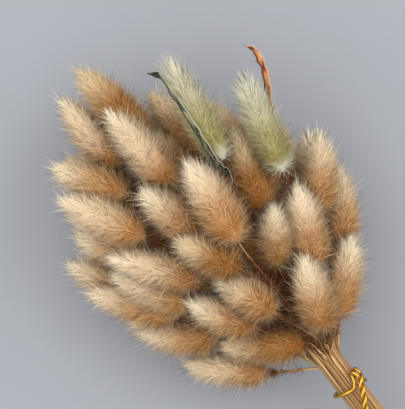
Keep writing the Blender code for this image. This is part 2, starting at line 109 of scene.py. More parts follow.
def length_setting(name, description, millimetres):
    """A length that a user may change."""
    return bpy.props.FloatProperty(
        name=name, description=description, default=millimetres * MM, unit="LENGTH", precision=5
    )


def colour_setting(name, description, code):
    """A colour that a user may change."""
    return bpy.props.FloatVectorProperty(
        name=name, description=description, default=linear(code), subtype="COLOR", min=0.0, max=1.0
    )


class FurSettings(bpy.types.PropertyGroup):
    """Sizes of the hairs on the heads."""

    hair_length: length_setting("Hair length", "Length of an ordinary hair", 5.3)
    hair_width: length_setting("Hair width", "Width of an ordinary hair at its root", 0.18)
    silk_length: length_setting("Silk length", "Length of the pale hairs at a head's tip", 7.5)
    awn_length: length_setting("Awn length", "Length of the thin hairs that stand out all round", 12.0)
    awn_width: length_setting("Awn width", "Width of a long hair at its root", 0.21)
    hairs: bpy.props.IntProperty(name="Hairs", description="Ordinary hairs on a head", default=4100)
    silk: bpy.props.IntProperty(name="Silk", description="Pale hairs at a head's tip", default=320)
    awns: bpy.props.IntProperty(name="Awns", description="Long thin hairs on a head", default=640)
    hidden_share: bpy.props.FloatProperty(
        name="Hidden share", description="Share of hairs on a head inside or under the bunch", default=0.34
    )
    lift: bpy.props.FloatProperty(
        name="Lift", description="How far the hairs stand off", default=math.radians(56), subtype="ANGLE"
    )


class HeadColours(bpy.types.PropertyGroup):
    """Colours of the dried and the green heads."""

    # The root and green root colours, darker deep in the fur, are partly the hair's own colour and partly
    # painted shade.
    root: colour_setting("Root", "Hair colour deep in the fur", "#834818")
    body: colour_setting("Body", "Hair colour half way up", "#BD8D50")
    tip: colour_setting("Tip", "Hair colour at the outer ends", "#F6E9CC")
    speck: colour_setting("Speck", "The dark hairs", "#6A380F")
    green_root: colour_setting("Green root", "Green heads deep in the fur", "#7A7238")
    green_body: colour_setting("Green body", "Green heads half way up", "#A0955E")
    green_tip: colour_setting("Green tip", "Green heads at the outer ends", "#E0DDC8")


class StemSettings(bpy.types.PropertyGroup):
    """The straw stems."""

    radius: length_setting("Stem radius", "Radius of a stem", 0.70)
    straw: colour_setting("Straw", "Colour of the dry straw", "#B98B52")
    pale_straw: colour_setting("Pale straw", "Paler streaks", "#D8B583")
    dark_straw: colour_setting("Dark straw", "Darker streaks and stems", "#4C2C13")
    grey_straw: colour_setting("Grey straw", "The few stems that kept a grey green", "#A19A72")
    # Painted shade: the deep brown on each stem's upper stretch between the heads and on its soft hairs.
    stem_shade_colour: colour_setting("Down", "Colour of a stem's upper stretch and of its soft hairs", "#5C3012")
    down_length: length_setting("Down length", "Length of the soft hairs on a stem's upper stretch", 5.0)
    down: bpy.props.IntProperty(name="Down", description="Soft hairs on each stem's upper part", default=270)


class LeafSettings(bpy.types.PropertyGroup):
    """The two dry leaves."""

    thickness: length_setting("Leaf thickness", "Thickness of the blade", 0.35)
    green: colour_setting("Green leaf", "Face of the green leaf", "#5C5B42")
    green_rib: colour_setting("Green leaf rib", "Ribs and edges of the green leaf", "#A8A385")
    # A blotch colour also darkens one edge of its leaf, partly as painted shade in the fold.
    green_dark: colour_setting("Green leaf blotch", "Blotches where the green leaf died first", "#25271D")
    brown: colour_setting("Brown leaf", "Face of the brown leaf", "#9C6436")
    brown_rib: colour_setting("Brown leaf rib", "Ribs and edges of the brown leaf", "#CFA680")
    brown_dark: colour_setting("Brown leaf blotch", "Blotches where the brown leaf died first", "#582A12")


class WireSettings(bpy.types.PropertyGroup):
    """The gold wire that ties the bundle."""

    radius: length_setting("Wire radius", "Radius of the wire", 0.78)
    ring_radius: length_setting("Ring radius", "Radius of the ring round the bundle", 7.9)
    twist_radius: length_setting("Twist radius", "How far each strand of the tail is from its middle", 1.12)
    tail_turns: bpy.props.FloatProperty(name="Tail turns", description="Turns of the tail", default=2.0)
    gold: colour_setting("Gold", "Colour of the wire", "#E0B04A")
    worn_gold: colour_setting("Worn gold", "Colour where the wire is rubbed", "#9C7420")


class StageSettings(bpy.types.PropertyGroup):
    """The floor, the light and the camera."""

    floor: colour_setting("Floor", "Colour of the floor", "#86898F")
    distance: length_setting("Camera distance", "Height of the camera over the heads", 1500.0)
    scale: length_setting("Pixel size", "Length that one pixel of the picture covers", 0.45)


# Helpers for arrays, meshes and materials.


def unit(vectors):
    """The vectors, each at length one."""
    return vectors / np.linalg.norm(vectors, axis=-1, keepdims=True)


def turned(one, other, angle):
    """Two directions at right angles, both turned by an angle about the direction across them."""
    return one * np.cos(angle) + other * np.sin(angle), other * np.cos(angle) - one * np.sin(angle)


def spokes(angle, side, other):
    """For each point of a path, directions at these angles between its two directions across."""
    return np.cos(angle)[None, :, None] * side[:, None] + np.sin(angle)[None, :, None] * other[:, None]


def distances(path):
    """How far along a path each of its points is."""
    return np.concatenate([[0.0], np.cumsum(np.linalg.norm(np.diff(path, axis=0), axis=1))])


def level_frame(path):
    """Two directions across a path at each of its points, the first one level."""
    forward = unit(np.gradient(path, axis=0))
    side = unit(np.cross(forward, UP))
    return side, np.cross(side, forward)


def as_one(surfaces):
    """The points and triangles of several surfaces as those of one."""
    starts = np.cumsum([0] + [len(points) for points, _ in surfaces])
    triangles = np.vstack([own + start for (_, own), start in zip(surfaces, starts)])
    return np.vstack([points for points, _ in surfaces]), triangles


def put_mesh(name, points, triangles, values=None, normals=None):
    """An object whose mesh has these points and triangles, with named values on its points."""
    mesh = bpy.data.meshes.new(name)
    mesh.vertices.add(len(points))
    mesh.vertices.foreach_set("co", np.asarray(points, np.float32).reshape(-1))
    mesh.loops.add(triangles.size)
    mesh.loops.foreach_set("vertex_index", triangles.astype(np.int32).reshape(-1))
    mesh.polygons.add(len(triangles))
    mesh.polygons.foreach_set("loop_start", np.arange(0, triangles.size, 3, dtype=np.int32))
    mesh.update(calc_edges=True)
    mesh.shade_smooth()
    for key, column in (values or {}).items():
        mesh.attributes.new(key, "FLOAT", "POINT").data.foreach_set("value", column.astype(np.float32))
    if normals is not None:
        mesh.normals_split_custom_set_from_vertices(normals.astype(np.float32))
    obj = bpy.data.objects.new(name, mesh)
    bpy.context.scene.collection.objects.link(obj)
    return obj


def grid_triangles(rows, columns):
    """The triangles of a grid whose last column meets its first, row after row."""
    row, column = np.meshgrid(np.arange(rows - 1), np.arange(columns), indexing="ij")
    a = (row * columns + column).reshape(-1)
    b = (row * columns + (column + 1) % columns).reshape(-1)
    return np.concatenate([np.stack([a, b, b + columns], 1), np.stack([a, b + columns, a + columns], 1)])


def closed_tube(rings):
    """Points and triangles of a skin over rings of points, rows by columns by 3, with each end closed."""
    rows, columns = rings.shape[:2]
    points = np.vstack([rings.reshape(-1, 3), rings[0].mean(axis=0), rings[-1].mean(axis=0)])
    k = np.arange(columns)
    after = (k + 1) % columns
    first = np.stack([after, k, np.full(columns, rows * columns)], 1)
    top = (rows - 1) * columns
    last = np.stack([top + k, top + after, np.full(columns, rows * columns + 1)], 1)
    return points, np.vstack([grid_triangles(rows, columns), first, last])


def smooth_curve(points, count):
    """Points at even steps on a Catmull-Rom curve through the given ones."""
    points = np.asarray(points, float)
    padded = np.vstack([2 * points[0] - points[1], points, 2 * points[-1] - points[-2]])
    # The last place stays just inside the last stretch.
    places = np.linspace(0, len(points) - 1 - 1e-9, count)
    i = places.astype(int)
    t = (places - i)[:, None]
    a, b, c, d = padded[i], padded[i + 1], padded[i + 2], padded[i + 3]
    return 0.5 * (2 * b + (c - a) * t + (2 * a - 5 * b + 4 * c - d) * t**2 + (3 * b - a - 3 * c + d) * t**3)


def set_inputs(tree, node, **inputs):
    """Sets a node's inputs, each given by its name, or by its number after an underscore.

    It is given as a value, or as an output to link. A colour is three numbers in linear light.
    """
    for key, value in inputs.items():
        socket = node.inputs[int(key[1:])] if key[0] == "_" else node.inputs[key.replace("_", " ")]
        if isinstance(value, bpy.types.NodeSocket):
            tree.links.new(value, socket)
        else:
            socket.default_value = (*value, 1.0) if socket.type == "RGBA" else value


def add_node(tree, kind, settings=None, stops=(), out=0, **inputs):
    """Adds a shader node and gives its output of that name or number, to link on.

    Stops are a colour ramp's places and colours.
    """
    made = tree.nodes.new("ShaderNode" + kind)
    for key, value in (settings or {}).items():
        setattr(made, key, value)
    for place, colour in stops[2:]:
        made.color_ramp.elements.new(place)
    for element, (place, colour) in zip(made.color_ramp.elements if stops else (), stops):
        element.position = place
        element.color = (*colour, 1.0)
    set_inputs(tree, made, **inputs)
    return made.outputs[out]


def new_material(name, **inputs):
    """A material with one Principled shader, and that shader's tree and node."""
    made = bpy.data.materials.new(name)
    made.use_nodes = True
    tree = made.node_tree
    shader = tree.nodes["Principled BSDF"]
    set_inputs(tree, shader, **inputs)
    return made, tree, shader


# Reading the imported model.


def welded(node):
    """A CAD node's points, each kept once, and its triangles as places among them."""
    mesh = node.data
    points = np.empty(len(mesh.vertices) * 3)
    mesh.vertices.foreach_get("co", points)
    points = points.reshape(-1, 3)
    mesh.calc_loop_triangles()
    triangles = np.empty(len(mesh.loop_triangles) * 3, np.int32)
    mesh.loop_triangles.foreach_get("vertices", triangles)
    microns = np.round(points * 1e6).astype(np.int64)
    _, first, place = np.unique(microns, axis=0, return_index=True, return_inverse=True)
    return points[first], place.reshape(-1)[triangles].reshape(-1, 3)


# A head's base is found in a rough and then a fine slice at its lower end. Its tufts lengthen it by two
# percent, and three quarters of its bow are in the radius that its points show.
ROUGH_SLICE = 1.5 * MM
FINE_SLICE = 0.4 * MM
TUFT_REACH = 1.02
BOW_SHARE = 0.75


class Head:
    """A head's place in the frame: its base, axis, length, radius, and two directions across it."""

    def __init__(self, name):
        points, _ = welded(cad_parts[name])
        lengthwise = np.linalg.svd(points - points.mean(axis=0), full_matrices=False)[2][0]
        lengthwise *= np.sign(lengthwise @ (points.mean(axis=0) - TIE_CENTRE))
        tip = points[np.argmax(points @ lengthwise)]
        reach = points @ lengthwise
        rough_base = points[reach < reach.min() + ROUGH_SLICE].mean(axis=0)
        reach = points @ unit(tip - rough_base)
        self.name = name
        self.base = points[reach < reach.min() + FINE_SLICE].mean(axis=0)
        self.axis = unit(tip - self.base)
        self.length = np.linalg.norm(tip - self.base) / TUFT_REACH
        off_axis = np.linalg.norm(np.cross(points - self.base, self.axis), axis=1)
        self.radius = off_axis.max() - BOW_SHARE * HEAD_BOW
        self.up = unit(UP - self.axis * (self.axis @ UP))
        self.side = np.cross(self.axis, self.up)


# The stretch that holds the stems' cut ends, and the rounds that it takes to label a whole ring there.
CUT_STRETCH = 30 * MM
LABEL_ROUNDS = 6

# A CAD stem's ring has five points. Up to eight rings are read, and those well past the neck are used.
RING_POINTS = 5
RINGS_READ = 8
PAST_NECK = 8 * MM


def cut_ends(points, edges):
    """The middles of the stems' cut ends.

    Points there that edges join get the same label, the lowest of their numbers, and are one ring.
    """
    at_end = points[:, 0] < points[:, 0].min() + CUT_STRETCH
    joined = edges[at_end[edges].all(axis=1)]
    label = np.arange(len(points))
    for _ in range(LABEL_ROUNDS):
        np.minimum.at(label, joined[:, 0], label[joined[:, 1]])
    return np.array([points[label == k].mean(axis=0) for k in np.unique(label[at_end])])


def stem_walk(points, edges, foot):
    """The middles of a CAD stem's last rings, read down from its foot until it touches another stem."""
    seen = np.zeros(len(points), bool)
    ring = np.argsort(np.linalg.norm(points - foot, axis=1))[:RING_POINTS]
    middles = []
    while len(ring) == RING_POINTS and len(middles) < RINGS_READ:
        seen[ring] = True
        middles.append(points[ring].mean(axis=0))
        ring = np.unique(edges[:, 1][np.isin(edges[:, 0], ring) & ~seen[edges[:, 1]]])
    return np.array(middles[::-1])


def stem_routes(heads):
    """Each stem's middle line: its cut end, the nearest free place in the tie, its rings up to its head."""
    points, triangles = welded(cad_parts["stems"])
    edges = np.vstack([triangles[:, [0, 1]], triangles[:, [1, 2]], triangles[:, [2, 0]]])
    edges = np.vstack([edges, edges[:, ::-1]])
    ends = cut_ends(points, edges)
    aside = ends - TIE_CENTRE
    aside = aside - np.outer(aside @ BUNDLE_ALONG, BUNDLE_ALONG)
    places = TIE_CENTRE + aside / CUT_SPLAY
    walks = [stem_walk(points, edges, head.base) for head in heads]
    routes = [None] * len(heads)
    free = np.ones(len(ends), bool)
    necks = places + BUNDLE_ALONG * NECK_REACH
    for k in sorted(range(len(heads)), key=lambda k: -len(walks[k])):
        # A taken place counts as one metre further off.
        nearest = np.argmin(np.linalg.norm(necks - walks[k][0], axis=1) + 1.0 * ~free)
        free[nearest] = False
        low = places[nearest] - BUNDLE_ALONG * TIE_HALF_ZONE
        clear = (walks[k] - necks[nearest]) @ BUNDLE_ALONG > PAST_NECK
        routes[k] = np.vstack([ends[nearest], low, necks[nearest], walks[k][clear]])
    return routes


# The furry heads.

# The step that the outline's slope is taken over, and the slope's limits.
SLOPE_STEP = 0.01
SLOPE_LIMITS = (-0.7, 2.5)

# Places that the girth is worked out at, what is added to it for the ends, and the turn from hair to hair.
GIRTH_PLACES = 400
END_GIRTH = 0.10
GOLDEN_ANGLE = math.pi * (3 - math.sqrt(5))

# A hair's points, its ridge beside its half width, and how far its normals lean to its sides and its end.
HAIR_POINTS = 4
RIDGE = 0.7
SIDE_LEAN = 0.45
END_LEAN = 0.3

# A head's core: its rows and columns, where its first and last row are, and its size beside the head's.
CORE_GRID = (14, 16)
CORE_ENDS = (0.004, 0.985)
CORE_SIZE = 0.72

# The size beside the head's of the skin that hairs root on, and the place up a hair that colours it.
ROOT_SIZE = 0.66
ROOT_LEVEL = 0.2

# Hairs in a tuft, how far up they meet, and the most that a hair's end is drawn there.
HAIRS_PER_TUFT = 24
TUFT_MEETING = 0.9
TUFT_PULL = 0.14

# Hairs stay this far above the floor.
FLOOR_GAP = 0.1 * MM


def outline(share):
    """A head's radius as a share of its widest: a blunt round base, the widest place, then a long taper.

    It is (1 - r^2.3)^0.5 (1 - f^2.5)^0.7, where r falls from 1 at the base to 0 at the widest place and f
    rises from 0 there to 1 at the tip.
    """
    rising = np.clip(1 - share / WIDEST_AT, 0, 1)
    falling = np.clip((share - WIDEST_AT) / (1 - WIDEST_AT), 0, 1)
    return (1 - rising**2.3) ** 0.5 * (1 - falling**2.5) ** 0.7


def skin(head, share, angle, size):
    """Places on a head's skin, and their outward and tipward directions.

    The outline is turned round the axis, which bows upwards as 4 share (1 - share).
    """
    radius = size * head.radius * outline(share)
    span = (BODY_TO - BODY_FROM) * head.length
    rise = outline(share + SLOPE_STEP) - outline(share - SLOPE_STEP)
    slope = np.clip(rise / (2 * SLOPE_STEP) * size * head.radius / span, *SLOPE_LIMITS)[:, None]
    radial = np.cos(angle)[:, None] * head.up + np.sin(angle)[:, None] * head.side
    lift = HEAD_BOW * 4 * share * (1 - share)
    along = (BODY_FROM * head.length + share * span)[:, None]
    place = head.base + head.axis * along + head.up * lift[:, None] + radial * radius[:, None]
    return place, unit(radial - head.axis * slope), unit(head.axis + radial * slope)


def spread(count, rng):
    """Places spread over a head: a golden-angle spiral, its steps along the head shared out by the girth."""
    grid = np.linspace(0, 1, GIRTH_PLACES)
    girth = np.cumsum(outline(grid) + END_GIRTH)
    share = np.interp((np.arange(count) + rng.uniform(0, 1, count)) / count, girth / girth[-1], grid)
    return share, np.arange(count) * GOLDEN_ANGLE + rng.normal(0, 0.05, count)


def combed(head, share, angle, lift, skew, size):
    """Roots of hairs, the ways they point, and the skin's outward directions there.

    A hair points tipward along the skin, turned aside by skew and off the skin by lift.
    """
    root, outward, tipward = skin(head, share, angle, size)
    aside = np.cross(outward, tipward)
    along = tipward * np.cos(skew)[:, None] + aside * np.sin(skew)[:, None]
    return root, unit(along * np.cos(lift)[:, None] + outward * np.sin(lift)[:, None]), outward


def blades(root, end, outward, width, rng):
    """Flat three-sided hairs, each closed: two sides and a ridge at the root, drawn out to one point."""
    count = len(root)
    way = unit(end - root)
    roll = rng.normal(0, 0.5, count)[:, None]
    aside = unit(np.cross(outward, way))
    aside, flat = turned(aside, unit(np.cross(way, aside)), roll)
    half = (width / 2)[:, None]
    points = np.stack([root - aside * half, root + aside * half, root + flat * half * RIDGE, end], 1)
    soft = [outward - aside * SIDE_LEAN, outward + aside * SIDE_LEAN, outward, outward + way * END_LEAN]
    first = HAIR_POINTS * np.arange(count)[:, None]
    triangles = np.concatenate([first + np.array(t) for t in ((0, 3, 2), (2, 3, 1), (1, 3, 0), (0, 2, 1))])
    return points.reshape(-1, 3), triangles, unit(np.stack(soft, 1)).reshape(-1, 3)


def core(head):
    """The body under the fur: a closed oval with the head's outline, narrower than the fur."""
    rows, columns = CORE_GRID
    share = np.repeat(np.linspace(*CORE_ENDS, rows), columns)
    angle = np.tile(2 * math.pi * np.arange(columns) / columns, rows)
    place, outward, _ = skin(head, share, angle, CORE_SIZE)
    points, triangles = closed_tube(place.reshape(rows, columns, 3))
    normals = np.vstack([outward, -head.axis, head.axis])
    return points, triangles, normals, np.append(share, [0.0, 1.0])


def furry_head(head, fur, seed, share_of_hairs, silkiness):
    """One head: its core, hairs drawn together in tufts, a pale brush at the tip, and long thin hairs.

    A head with a smaller share of hairs has wider and longer ones, so that it closes the gaps above it.
    """
    rng = np.random.default_rng(seed)
    fewer = 1 / math.sqrt(share_of_hairs)
    layers = []

    points, triangles, facing, share = core(head)
    # The core takes the colour low on a hair, which is partly painted shade.
    values = np.stack([np.full(len(points), ROOT_LEVEL), share, rng.uniform(0.3, 0.6, len(points))], 1)
    layers.append((points, triangles, facing, values))

    def add_hairs(share, angle, lift, skew, length, width, size, root_value, gather=None):
        """Adds a layer of hairs, whose ends gather may draw together, with the values that colour them."""
        root, way, outward = combed(head, share, angle, lift, skew, size)
        end = root + way * length[:, None]
        if gather is not None:
            end += gather(root, end)
        points, triangles, facing = blades(root, end, outward, width, rng)
        up_hair = np.tile([root_value, root_value, root_value, 1.0], len(root))
        own = np.stack([share, rng.random(len(root))], 1)
        values = np.column_stack([up_hair, np.repeat(own, HAIR_POINTS, axis=0)])
        layers.append((points, triangles, facing, values))

    count = int(fur.hairs * share_of_hairs)
    tufts = count // HAIRS_PER_TUFT
    tuft_share, tuft_angle = spread(tufts, rng)
    still = np.zeros(tufts)
    tuft_root, tuft_way, _ = combed(head, tuft_share, tuft_angle, still + fur.lift, still, ROOT_SIZE)
    meeting = tuft_root + tuft_way * fur.hair_length * TUFT_MEETING

    def gather(root, end):
        """Draws the hairs' ends part of the way to their tuft's middle."""
        nearest = np.argmin(np.linalg.norm(root[:, None] - tuft_root[None], axis=2), axis=1)
        return rng.uniform(0.0, TUFT_PULL, len(root))[:, None] * (meeting[nearest] - end)

    share, angle = spread(count, rng)
    add_hairs(
        share,
        angle,
        lift=rng.normal(fur.lift, 0.3, count) * (1 - 0.45 * share**2),
        skew=rng.normal(0, 0.5, count),
        length=fur.hair_length * fewer**0.5 * rng.uniform(0.55, 1.15, count) * (1 + 0.3 * share**2),
        width=fur.hair_width * rng.uniform(0.7, 1.2, count) * fewer,
        size=rng.uniform(ROOT_SIZE, 0.73, count),
        root_value=ROOT_LEVEL,
        gather=gather,
    )

    count = int(fur.silk * share_of_hairs * silkiness)
    add_hairs(
        share=rng.uniform(0.72, 0.98, count),
        angle=rng.uniform(0, 2 * math.pi, count),
        lift=rng.uniform(0.0, 0.35 + 0.2 * silkiness, count),
        skew=rng.normal(0, 0.25, count),
        length=fur.silk_length * rng.uniform(0.5, 1.0, count) * math.sqrt(silkiness),
        width=fur.awn_width * rng.uniform(0.8, 1.3, count) * fewer,
        size=rng.uniform(0.4, 0.7, count),
        root_value=0.6,
    )

    count = int(fur.awns * share_of_hairs)
    share, angle = spread(count, rng)
    add_hairs(
        share,
        angle,
        lift=rng.uniform(0.5, 1.4, count) * (1 - 0.3 * share),
        skew=rng.normal(0, 0.6, count),
        length=fur.awn_length * rng.uniform(0.5, 1.05, count),
        width=np.full(count, fur.awn_width),
        size=np.full(count, ROOT_SIZE),
        root_value=0.5,
    )

    points, triangles = as_one([layer[:2] for layer in layers])
    points[:, 2] = np.maximum(points[:, 2], FLOOR_GAP)
    named = dict(zip(("up_hair", "up_head", "pick"), np.vstack([layer[3] for layer in layers]).T))
    return put_mesh("fur_" + head.name, points, triangles, named, np.vstack([layer[2] for layer in layers]))


def fur_material(name, root, body, tip, speck, pale_base=0.14, pale_middle=0.12):
    """Soft dry plant hair: matt, darker deep in the fur, pale at its outer ends and towards the head's tip.

    Golden patches some 10 mm across, single dark hairs, most of them near the base, and hairs that are
    a little brighter or darker than the next one break the colour up. The darker root colour deep in the fur
    is partly the hair's own colour and partly painted shade.
    """
    made, tree, shader = new_material(
        name, Roughness=0.9, Sheen_Weight=0.06, Sheen_Roughness=0.5, Specular_IOR_Level=0.08
    )
    up_hair, up_head, pick = (
        add_node(tree, "Attribute", {"attribute_name": key}, out="Fac")
        for key in ("up_hair", "up_head", "pick")
    )
    # The root colour deep in the fur is partly the hair's own colour and partly painted shade.
    stops = ((0.1, root), (0.5, body), (1.0, 0.65 * body + 0.35 * tip))
    colour = add_node(tree, "ValToRGB", stops=stops, Fac=up_hair)
    place = add_node(tree, "TexCoord", out="Object")
    patches = add_node(tree, "TexNoise", Vector=place, Scale=100.0, Detail=1.0)
    golden = add_node(tree, "MapRange", SMOOTH, Value=patches, From_Min=0.45, From_Max=0.75, To_Max=0.55)
    levels = ((0.0, pale_base), (0.18, 0.0), (0.5, pale_middle), (0.8, 0.58), (1.0, 0.9))
    greys = [(where, (level,) * 3) for where, level in levels]
    paleness = add_node(tree, "ValToRGB", stops=greys, Fac=up_head)
    # A hair is dark where its own number is over a limit, which rises towards the head's tip.
    limit = add_node(tree, "Math", {"operation": "MULTIPLY_ADD"}, _0=up_head, _1=0.26, _2=0.68)
    dark = add_node(tree, "Math", {"operation": "GREATER_THAN"}, _0=pick, _1=limit)
    softer = add_node(tree, "Math", {"operation": "MULTIPLY"}, _0=dark, _1=0.85)
    for strength, tone in ((golden, body), (paleness, tip), (softer, speck)):
        colour = add_node(tree, "Mix", COLOURS, out=2, _0=strength, _6=colour, _7=tone)
    bright = add_node(tree, "MapRange", Value=pick, To_Min=1.34, To_Max=0.7)
    colour = add_node(tree, "HueSaturation", Color=colour, Value=bright)
    set_inputs(tree, shader, Base_Color=colour)
    return made


# What the root, body and tip colours of a browner head are multiplied by, partly its own colour and partly
# painted shade, all those of a head deep inside the bunch, to darken it with painted shade, and how much more
# of a brush a green head has at its tip.
BROWNER_AND_SHADE_TINTS = ((0.9, 0.95, 1.3), (0.74, 0.68, 0.56), (0.9, 0.83, 0.72))
INSIDE_SHADE_TINT = (0.45, 0.25, 0.11)
GREEN_SILKINESS = 3.0


class BUNCH_OT_furry_heads(bpy.types.Operator):
    """Covers every head of the frame in combed fur with a halo of long hairs"""

    bl_idname = "bunch.furry_heads"
    bl_label = "Furry heads"

    def execute(self, context):
        fur = context.scene.bunch_fur
        colours = context.scene.bunch_heads
        tones, green_tones = (
            [np.array(getattr(colours, kind + key)) for key in ("root", "body", "tip")]
            for kind in ("", "green_")
        )
        # Browner tones are partly the heads' own colour and partly painted shade. Inside tones are painted
        # shade.
        browner_and_shade_tones = [tone * tint for tone, tint in zip(tones, BROWNER_AND_SHADE_TINTS)]
        inside_shade_tones = [tone * INSIDE_SHADE_TINT for tone in tones]
        speck = np.array(colours.speck)
        green_speck = green_tones[0] * 0.6
        # The numbers say how pale a head is at its base and half way up.
        finishes = {
            "dried": fur_material("dried head hair", *tones, speck),
            # The browner finish is partly painted shade.
            "brown": fur_material("browner dried head hair with painted shade", *browner_and_shade_tones, speck, 0.0, 0.0),
            "pale": fur_material("paler dried head hair", *tones, speck, 0.15, 0.42),
            # Painted shade for the heads deep inside the bunch.
            "painted_shade_inside": fur_material("shaded dried head hair", *inside_shade_tones, speck),
            "green": fur_material("green head hair", *green_tones, green_speck, 0.9, 0.15),
        }
        for seed, name in enumerate(HEAD_NAMES):
            short = name.removeprefix("head_")
            finish = next((kind for kind, members in SPECIAL_HEADS.items() if short in members), "dried")
            share_of_hairs = 1.0 if "upper" in name or "green" in name else fur.hidden_share
            silkiness = GREEN_SILKINESS if finish == "green" else 1.0
            obj = furry_head(Head(name), fur, seed, share_of_hairs, silkiness)
            obj.data.materials.append(finishes[finish])
            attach(obj, "root")
            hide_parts(name)
        return {"FINISHED"}


# The stems.

# Rings of a stem in its tied and in its free stretch, and the sides of a ring.
TIED_ROWS = 28
FREE_ROWS = 38
STEM_SIDES = 8

# A stem's thickness beside the setting's at its cut end, its neck, past the slimming stretch and at its head,
# into which it reaches a little.
SLIMMING = 15 * MM
STEM_THICKNESS = (1.0, 1.0, 0.85, 0.62)
REACH_INTO_HEAD = 2 * MM

# How much a joint swells a stem, over what length, and how much thinner the stem is below its sheath.
JOINT_SWELLING = 0.16
JOINT_LENGTH = 1.6 * MM
SHEATH_STEP = 0.06

# The ring where the soft hairs start, and the width of such a hair.
DOWN_FROM_ROW = TIED_ROWS + 3
DOWN_WIDTH = 0.27 * MM

# Stems on one side of the bundle are grey: from where and over what width, in millimetres, and how much.
GREY_FROM = 3.8
GREY_OVER = 2.0
GREY_MOST = 0.85


def stem_rings(route, stems, rng):
    """Rings round a stem: a circle carried along its route, thinner towards the head.

    The stem swells at a joint about half way down. Above the joint it wears its leaf sheath, a slightly wider
    sleeve that ends in a step.
    """
    path = np.vstack([np.linspace(route[0], route[2], TIED_ROWS)[:-1], smooth_curve(route[2:], FREE_ROWS)])
    length = distances(path)
    neck = length[TIED_ROWS]
    radius = stems.radius * np.interp(length, [0.0, neck, neck + SLIMMING, length[-1]], STEM_THICKNESS)
    joint = rng.uniform(0.35, 0.7) * neck
    swelling = JOINT_SWELLING * np.exp(-(((length - joint) / JOINT_LENGTH) ** 2))
    radius = radius * (1 + swelling - SHEATH_STEP * (length < joint))
    angle = rng.uniform(0, 6) + 2 * math.pi * np.arange(STEM_SIDES) / STEM_SIDES
    return path[:, None] + radius[:, None, None] * spokes(angle, *level_frame(path)), length, neck


def down(rings, last_row, stems, rng):
    """Soft hairs on a stem between its neck and its head, standing out all round and leaning headwards."""
    row = rng.integers(DOWN_FROM_ROW, last_row, stems.down)
    column = rng.integers(0, rings.shape[1], stems.down)
    root = rings[row, column]
    middle, ahead = rings[row].mean(axis=1), rings[row + 1].mean(axis=1)
    outward, headward = unit(root - middle), unit(ahead - middle)
    root = root + (ahead - middle) * rng.random(stems.down)[:, None]
    lean = rng.uniform(0.3, 1.2, stems.down)[:, None]
    way = unit(outward + headward * lean + rng.normal(0, 0.2, root.shape))
    length = stems.down_length * rng.uniform(0.4, 1.0, stems.down)[:, None]
    return blades(root, root + way * length, outward, np.full(stems.down, DOWN_WIDTH), rng)[:2]


def straw_material(stems):
    """Dry straw: a satin skin with fine lengthwise streaks, some stems browner or greyer than others.

    Towards the heads, where the soft hairs grow, the stem and its soft hairs are darkened to a deep brown:
    painted shade.
    """
    made, tree, shader = new_material("dry straw", Roughness=0.5, Specular_IOR_Level=0.4)
    along, around, pick, age, downy = (
        add_node(tree, "Attribute", {"attribute_name": key}, out="Fac")
        for key in ("along", "around", "pick", "age", "downy")
    )
    place = add_node(tree, "CombineXYZ", X=around, Y=along, Z=pick)
    # A streak is 0.3 mm wide and 25 mm long. The third number parts one stem's pattern from the next one's.
    stretched = add_node(tree, "Mapping", Vector=place, Scale=(7.0, 40.0, 90.0))
    streak = add_node(tree, "TexNoise", Vector=stretched, Scale=1.0, Detail=3.0)
    stops = ((0.4, stems.dark_straw), (0.49, stems.straw), (0.63, stems.pale_straw))
    colour = add_node(tree, "ValToRGB", stops=stops, Fac=streak)
    brown, grey = (
        add_node(tree, "Mix", COLOURS, out=2, _0=streak, _6=stems.dark_straw, _7=tone)
        for tone in (stems.straw, stems.grey_straw)
    )
    browner = add_node(tree, "MapRange", SMOOTH, Value=pick, From_Min=0.4, From_Max=0.75)
    # The last mix paints shade on the stem's upper stretch and on its soft hairs.
    for strength, tone in ((browner, brown), (age, grey), (downy, stems.stem_shade_colour)):
        colour = add_node(tree, "Mix", COLOURS, out=2, _0=strength, _6=colour, _7=tone)
    bump = add_node(tree, "Bump", Height=streak, Strength=0.5, Distance=0.15 * MM)
    set_inputs(tree, shader, Base_Color=colour, Normal=bump)
    return made


